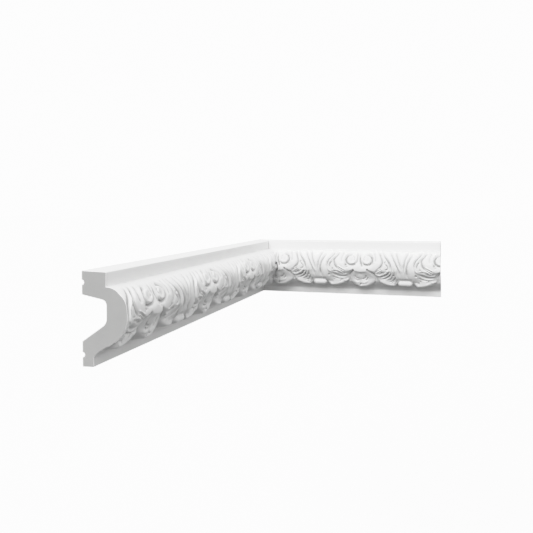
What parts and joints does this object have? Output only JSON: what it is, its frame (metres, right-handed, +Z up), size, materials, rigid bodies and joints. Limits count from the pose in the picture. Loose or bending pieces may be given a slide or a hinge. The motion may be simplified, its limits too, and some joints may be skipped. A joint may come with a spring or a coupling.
{
  "type": "wall moulding corner",
  "caption": "Carved panel moulding in straight lengths that meet in a mitre at an inside room corner, with scrolls, hanging leaves, fluted fans, a hollow back and glue grooves.",
  "frame": {"origin": "the room corner at the moulding's bottom edge, where the planes of the two walls meet", "axes": "+X along the right wall and the right length, -Y along the left wall and the left length, +Z up; the room is at +X and -Y"},
  "size_m": [0.307, 0.5, 0.088],
  "materials": {
    "primed surface": "matt white primer, ready for paint",
    "sawn end": "bare sawn section of dense foamed plastic"
  },
  "bodies": {
    "root": {"left_length": "primed surface", "right_length": "primed surface"}
  },
  "joints": []
}
